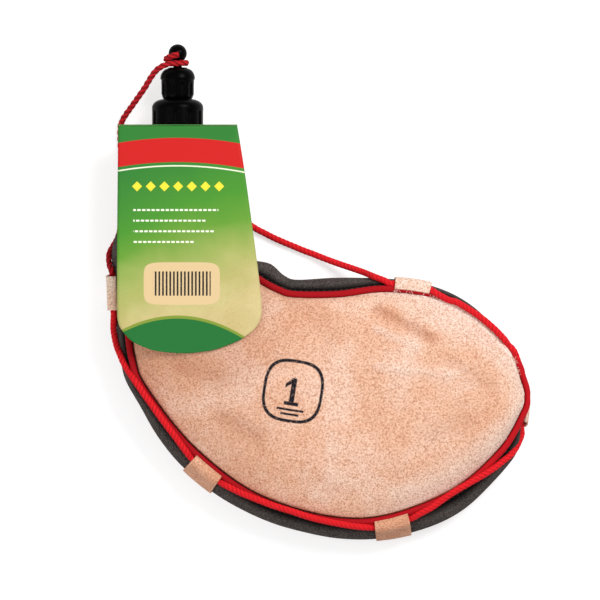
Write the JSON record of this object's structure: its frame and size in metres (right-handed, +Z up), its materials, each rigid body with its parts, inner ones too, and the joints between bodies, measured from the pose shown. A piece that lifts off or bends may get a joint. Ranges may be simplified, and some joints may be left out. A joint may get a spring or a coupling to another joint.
{
  "type": "leather bota bag",
  "caption": "Kidney-shaped suede wine skin with piped seams, a ribbed screw neck, a small screw cap, a cord through leather keepers and a folded card tag.",
  "frame": {"origin": "on the floor under the middle of the bag's outline, as it lies on its back", "axes": "+Y along the neck towards the cap, +X to the bag's right, +Z up, away from the floor"},
  "size_m": [0.2817, 0.3292, 0.0481],
  "materials": {
    "suede": "napped suede, peach tan",
    "gusset_leather": "napped, dark grey",
    "red_piping": "tightly woven, slightly glossy",
    "red_cord": "twisted cord, semi-matt",
    "black_plastic": "moulded, glossy",
    "grey_rubber": "matt",
    "liner_film": "milky film",
    "printed_card": "printed, half matt"
  },
  "bodies": {
    "bag": {"front_panel": "suede", "back_panel": "suede", "side_gusset": "gusset_leather", "front_piping": "red_piping", "back_piping": "red_piping", "inner_liner": "liner_film", "keeper_left": "suede", "keeper_lower_left": "suede", "keeper_bottom": "suede", "keeper_right": "suede", "keeper_top_right": "suede", "neck_base": "black_plastic", "neck_binding": "red_cord", "cap_tether": "red_cord", "carrying_cord": "red_cord", "shoulder_stretch": "red_cord", "hang_tag_flap": "printed_card"},
    "gasket_ring": {"collar_gasket": "grey_rubber"},
    "collar": {"spout_collar": "black_plastic"},
    "seal_disc": {"cap_seal": "grey_rubber"},
    "cap": {"screw_cap": "black_plastic"},
    "cord_loop": {"knob_loop": "red_cord"},
    "tag_leaf": {"hang_tag_front": "printed_card"}
  },
  "joints": [
    {"name": "collar_lift", "type": "slide", "parent": "bag", "child": "gasket_ring", "axis": [0, 1, 0], "range_m": [0, 0.008], "deforming": ["cap_tether"]},
    {"name": "collar_turn", "type": "hinge", "parent": "gasket_ring", "child": "collar", "pos_m": [-0.09394, 0.1167, 0.022], "axis": [0, 1, 0], "range_deg": [0, 720]},
    {"name": "cap_lift", "type": "slide", "parent": "collar", "child": "seal_disc", "axis": [0, 1, 0], "range_m": [0, 0.0045], "deforming": ["cap_tether"]},
    {"name": "cap_turn", "type": "hinge", "parent": "seal_disc", "child": "cap", "pos_m": [-0.09394, 0.1377, 0.022], "axis": [0, 1, 0], "range_deg": [0, 540]},
    {"name": "cord_lift", "type": "slide", "parent": "gasket_ring", "child": "cord_loop", "axis": [0, 1, 0], "range_m": [0, 0.0045], "deforming": ["cap_tether"]},
    {"name": "tag_fold", "type": "hinge", "parent": "bag", "child": "tag_leaf", "pos_m": [-0.09394, 0.10965, 0.0421], "axis": [-1, 0, 0], "range_deg": [0, 90]}
  ],
  "couplings": [
    {"joint": "collar_lift", "follows": "collar_turn", "m_per_rad": 0.00063662},
    {"joint": "cap_lift", "follows": "cap_turn", "m_per_rad": 0.00047746},
    {"joint": "cord_lift", "follows": "cap_turn", "m_per_rad": 0.00047746}
  ]
}
